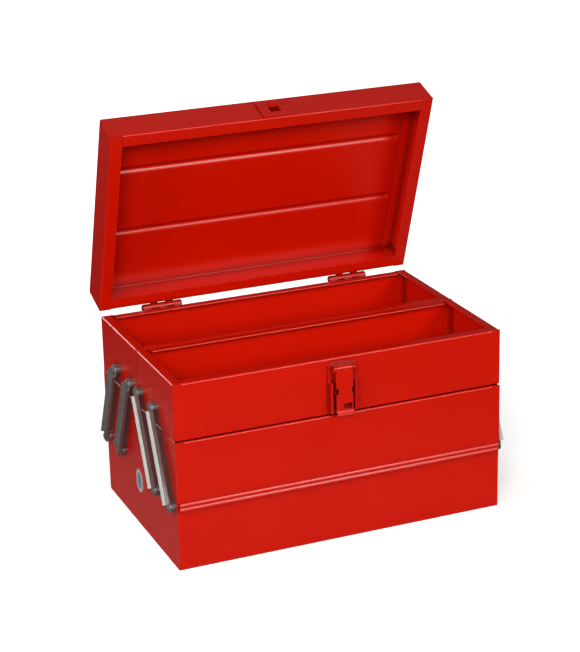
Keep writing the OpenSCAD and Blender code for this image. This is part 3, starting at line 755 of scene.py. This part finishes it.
red = [
    fold_base(),
    press_end("base_end_panel_left", -1, (-HALF_D, HALF_D), (0, BASE_TOP), "base", "base_end_left",
              UPPER_D - HALF_D),
    press_end("base_end_panel_right", 1, (-HALF_D, HALF_D), (0, BASE_TOP), "base", "base_end_right",
              UPPER_D - HALF_D),
    fold_tray("front_tray_wrap", FRONT_Y, "front_tray", "front_tray_shell"),
    press_end("front_tray_panel_left", -1, FRONT_Y, (TRAY_Z, TRAY_TOP), "front_tray", "front_tray_end_left"),
    press_end("front_tray_panel_right", 1, FRONT_Y, (TRAY_Z, TRAY_TOP), "front_tray",
              "front_tray_end_right"),
    fold_tray("rear_tray_wrap", REAR_Y, "rear_tray", "rear_tray_shell"),
    press_end("rear_tray_panel_left", -1, REAR_Y, (TRAY_Z, TRAY_TOP), "rear_tray", "rear_tray_end_left"),
    press_end("rear_tray_panel_right", 1, REAR_Y, (TRAY_Z, TRAY_TOP), "rear_tray", "rear_tray_end_right"),
    fold_lid(),
    press_lid_end("lid_end_panel_left", -1, "lid_end_left"),
    press_lid_end("lid_end_panel_right", 1, "lid_end_right"),
    fold_hasp(),
]
for piece in red:
    paint(piece, "red_enamel")
stand_arms()
paint(mould_grip(), "grip_plastic")

# ---- machined and bent parts keep their own solids and are given their finishes
SLOTS = {
    "red_enamel": ["hasp_bracket", "hinge_tray_leaf_left", "hinge_tray_leaf_right", "hinge_lid_leaf_left",
                   "hinge_lid_leaf_right", "lid_keeper", "lid_keeper_rivets", "hinge_pins", "hasp_pin"],
    "plated_steel": ["lower_arm_rivets", "lower_arm_washers", "front_tray_rivets", "front_tray_washers",
                     "rear_tray_rivets", "rear_tray_washers",
                     "handle_bracket_left", "handle_bracket_right", "handle_bail"],
    "blank_label": ["blank_label"],
}
for slot_name, names in SLOTS.items():
    for name in names:
        node = NODES[name]
        for i in range(max(1, len(node.material_slots))):
            if i < len(node.material_slots):
                node.material_slots[i].material = MATS[slot_name]
            else:
                node.data.materials.append(MATS[slot_name])

# ---- floor, light and camera

def pale_floor():
    """Matt white paper, lit from below as on a light table so that it stays white to the back. What
    it throws back onto the box fades away from the box, as from a sheet on a darker bench."""
    mat, t = begin("matt_white_paper")
    at = add(t, "ShaderNodeTexCoord").outputs["Object"]
    grain = add(t, "ShaderNodeTexNoise", {"Scale": 60.0, "Detail": 2.0}, {"Vector": at})
    tone = add(t, "ShaderNodeMix", {"data_type": "RGBA", 6: hexa("#fafafa"), 7: hexa("#ffffff")},
               {0: grain.outputs["Fac"]})
    far = add(t, "ShaderNodeVectorMath", {"operation": "LENGTH"}, {0: at})
    sheet = add(t, "ShaderNodeMapRange", {"From Min": 0.25, "From Max": 0.8, "To Min": 0.26, "To Max": 0.05},
                {"Value": far.outputs["Value"]})
    seen = add(t, "ShaderNodeLightPath").outputs["Is Camera Ray"]
    both = add(t, "ShaderNodeMix", {"data_type": "RGBA"},
               {0: seen, 6: sheet.outputs[0], 7: tone.outputs[2]})
    glow = add(t, "ShaderNodeMapRange", {"From Min": 0.25, "From Max": 0.9, "To Min": 0.45, "To Max": 1.0},
               {"Value": far.outputs["Value"]})
    lit = add(t, "ShaderNodeMath", {"operation": "MULTIPLY"}, {0: glow.outputs[0], 1: seen})
    paper = add(t, "ShaderNodeBsdfDiffuse", {}, {"Color": both.outputs[2]})
    under = add(t, "ShaderNodeEmission", {"Color": (1, 1, 1, 1)}, {"Strength": lit.outputs[0]})
    whole = add(t, "ShaderNodeAddShader", {}, {0: paper.outputs[0], 1: under.outputs[0]})
    add(t, "ShaderNodeOutputMaterial", {}, {"Surface": whole.outputs[0]})
    put_down()
    bpy.ops.mesh.primitive_plane_add(size=16, location=(0, 0, -0.0002))
    floor = bpy.context.object
    floor.name = "pale_floor"
    floor.data.materials.append(mat)


def softbox(name, at, aim, size, watts, colour=(1, 1, 1)):
    lamp = bpy.data.lights.new(name, "AREA")
    lamp.shape = "RECTANGLE"
    lamp.size, lamp.size_y = size
    lamp.energy = watts
    lamp.color = colour
    ob = bpy.data.objects.new(name, lamp)
    bpy.context.collection.objects.link(ob)
    ob.location = at
    ob.rotation_euler = (Vector(aim) - Vector(at)).to_track_quat("-Z", "Y").to_euler()
    return ob


pale_floor()
softbox("key_softbox", (-1.3, -2.4, 1.5), (0, 0, 0.2), (1.1, 1.0), 63, (1.0, 0.97, 0.93))
softbox("right_softbox", (1.0, -2.6, 1.25), (0, 0, 0.2), (0.9, 0.7), 32, (1.0, 0.97, 0.93))
softbox("left_softbox", (-2.4, -0.9, 0.8), (0, 0, 0.2), (0.8, 0.9), 21, (1.0, 0.97, 0.93))
softbox("back_softbox", (-0.9, 2.6, 1.0), (0, 0, 0.2), (1.2, 0.8), 25)
softbox("high_softbox", (0.9, 1.2, 2.8), (0, 0, 0.3), (1.5, 1.5), 1.0)

world = bpy.data.worlds.new("studio")
bpy.context.scene.world = world
world.use_nodes = True
air = world.node_tree
air.nodes.clear()
white = add(air, "ShaderNodeBackground", {"Color": (1, 1, 1, 1), "Strength": 1.0})
room = add(air, "ShaderNodeBackground", {"Color": (1, 1, 1, 1), "Strength": 0.08})
ray = add(air, "ShaderNodeLightPath")
sky = add(air, "ShaderNodeMixShader", {}, {0: ray.outputs["Is Camera Ray"], 1: room.outputs[0],
                                           2: white.outputs[0]})
add(air, "ShaderNodeOutputWorld", {}, {"Surface": sky.outputs[0]})

camera = bpy.data.cameras.new("camera")
camera.sensor_width = 36
camera.lens = 1966 * 36 / 652
camera.clip_end = 50
cam = bpy.data.objects.new("camera", camera)
bpy.context.collection.objects.link(cam)
cam.matrix_world = Matrix((
    (0.9206854, 0.1498366, -0.3603990, -0.8353695),
    (-0.3897153, 0.3021470, -0.8699593, -1.9934854),
    (-0.0214583, 0.9414118, 0.3365760, 0.9911235),
    (0, 0, 0, 1),
))
bpy.context.scene.camera = cam
bpy.context.scene.view_settings.view_transform = "Standard"
